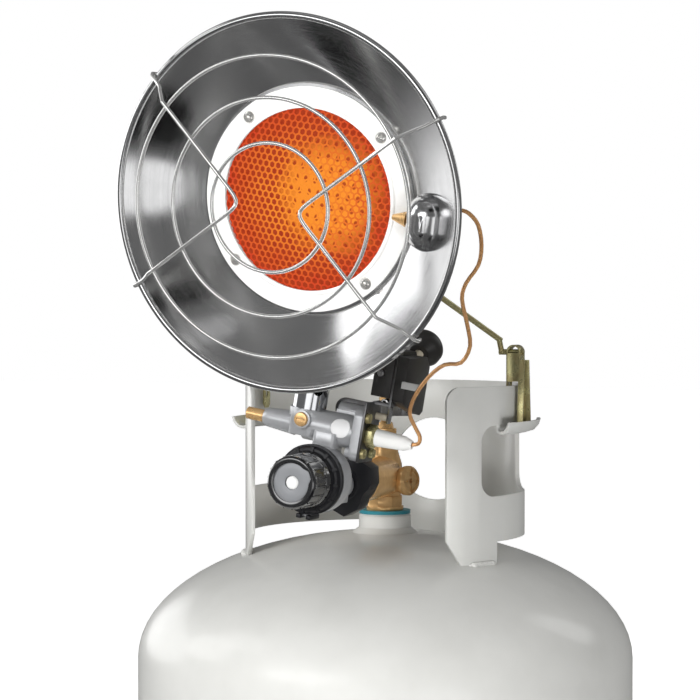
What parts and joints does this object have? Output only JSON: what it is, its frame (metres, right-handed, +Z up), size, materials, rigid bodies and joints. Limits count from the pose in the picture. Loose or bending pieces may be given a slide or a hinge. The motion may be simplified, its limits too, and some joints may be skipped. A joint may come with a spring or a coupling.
{
  "type": "portable propane heater",
  "caption": "Round reflector heater head with a wire guard on a white gas cylinder, with regulator, tip-over switch and clips.",
  "frame": {"origin": "on the floor, on the axis of the gas cylinder", "axes": "+Z up along the cylinder axis, -Y the way the heater shines, +X to the right seen from the front"},
  "size_m": [0.3196, 0.3702, 0.6694],
  "materials": {
    "cylinder_paint": "gloss",
    "brass": "machined",
    "valve_brass": "forged",
    "seal": "matte",
    "wheel_black": "matte",
    "knob_black": "gloss",
    "dial_grey": "satin",
    "cast_alloy": "as cast",
    "chrome_tube": "polished",
    "reflector_steel": "polished",
    "guard_steel": "bright",
    "enamel_white": "gloss",
    "ceramic": "matte",
    "glow_screen": "glowing",
    "steel": "satin",
    "spring_steel": "bright",
    "olive_zinc": "zinc plated",
    "copper": "drawn",
    "boot_white": "satin",
    "switch_black": "moulded",
    "stem_cream": "satin"
  },
  "bodies": {
    "heater": {"upper_shell": "cylinder_paint", "lower_shell": "cylinder_paint", "neck_flange": "cylinder_paint", "foot_ring": "cylinder_paint", "collar": "cylinder_paint", "valve_body": "valve_brass", "valve_seal": "seal", "valve_bonnet": "brass", "relief_valve": "valve_brass", "dip_tube": "brass", "inlet_nipple": "brass", "regulator_body": "cast_alloy", "regulator_bonnet": "wheel_black", "bonnet_latch": "wheel_black", "diaphragm": "seal", "regulator_spring": "spring_steel", "manifold": "cast_alloy", "side_pipe": "brass", "plug_screw": "brass", "end_flange": "cast_alloy", "flange_screws": "olive_zinc", "safety_magnet": "steel", "magnet_nut": "olive_zinc", "gas_jet": "brass", "mixer_tube": "chrome_tube", "burner_pan": "enamel_white", "burner_plaque": "ceramic", "burner_screen": "glow_screen", "burner_ring": "enamel_white", "ring_screws": "enamel_white", "reflector": "reflector_steel", "guard_rings": "guard_steel", "guard_wires": "guard_steel", "thermocouple": "steel", "thermocouple_nut": "brass", "thermocouple_lead": "copper", "lead_boot": "boot_white", "lead_clip": "boot_white", "switch_bracket": "steel", "switch_housing": "switch_black", "switch_cover": "switch_black", "cover_screw": "steel", "button_spring": "spring_steel", "bail_bracket": "steel", "bail_pin": "steel"},
    "knob": {"control_knob": "knob_black", "knob_dial": "dial_grey"},
    "coupling": {"coupling_wheel": "wheel_black", "coupling_plug": "brass"},
    "hand_wheel": {"valve_wheel": "steel", "valve_stem": "brass"},
    "bleeder": {"bleeder_screw": "brass"},
    "button": {"push_button": "switch_black", "button_stem": "stem_cream"},
    "lever": {"safety_lever": "steel"},
    "plunger": {"safety_plunger": "stem_cream"},
    "pendulum": {"tip_pendulum": "steel"},
    "bail": {"support_bail": "olive_zinc"},
    "clip_r": {"clip_right": "olive_zinc"},
    "clip_l": {"clip_left": "olive_zinc"}
  },
  "joints": [
    {"name": "knob_turn", "type": "hinge", "parent": "heater", "child": "knob", "pos_m": [0.00113, -0.125, 0.4016], "axis": [0, -1, 0], "range_deg": [-240, 0]},
    {"name": "coupling_spin", "type": "hinge", "parent": "heater", "child": "coupling", "pos_m": [0, -0.055, 0.3952], "axis": [0, -1, 0], "continuous": true},
    {"name": "hand_wheel_turn", "type": "hinge", "parent": "heater", "child": "hand_wheel", "pos_m": [0, 0, 0.434], "axis": [0, 0, 1], "range_deg": [-540, 0]},
    {"name": "bleeder_turn", "type": "hinge", "parent": "heater", "child": "bleeder", "pos_m": [-0.00985, 0.00174, 0.3952], "axis": [-0.9848, 0.1736, 0], "range_deg": [0, 360]},
    {"name": "button_press", "type": "slide", "parent": "heater", "child": "button", "axis": [-0.0815, -0.8829, -0.4623], "range_m": [0, 0.005], "stiffness_N_per_m": 400, "springref_m": -0.004, "deforming": ["button_spring"]},
    {"name": "lever_turn", "type": "hinge", "parent": "heater", "child": "lever", "pos_m": [0.03777, -0.09, 0.44703], "axis": [0, 1, 0], "range_deg": [0, 18]},
    {"name": "plunger_slide", "type": "slide", "parent": "heater", "child": "plunger", "axis": [-0.9848, 0, 0.1736], "range_m": [0, 0.0034]},
    {"name": "pendulum_swing", "type": "hinge", "parent": "heater", "child": "pendulum", "pos_m": [0.04019, -0.0913, 0.47341], "axis": [0, 1, 0], "range_deg": [-8, 8]},
    {"name": "bail_swing", "type": "hinge", "parent": "heater", "child": "bail", "pos_m": [0.011, -0.081, 0.5437], "axis": [1, 0, 0], "range_deg": [0, 75]},
    {"name": "clip_right_turn", "type": "hinge", "parent": "bail", "child": "clip_r", "pos_m": [0.0888, 0, 0.476], "axis": [1, 0, 0], "range_deg": [-20, 20]},
    {"name": "clip_left_turn", "type": "hinge", "parent": "bail", "child": "clip_l", "pos_m": [-0.0888, 0, 0.476], "axis": [1, 0, 0], "range_deg": [-20, 20]}
  ],
  "couplings": [
    {"joint": "lever_turn", "follows": "button_press", "rad_per_m": 60},
    {"joint": "plunger_slide", "follows": "button_press", "ratio": 0.66}
  ]
}
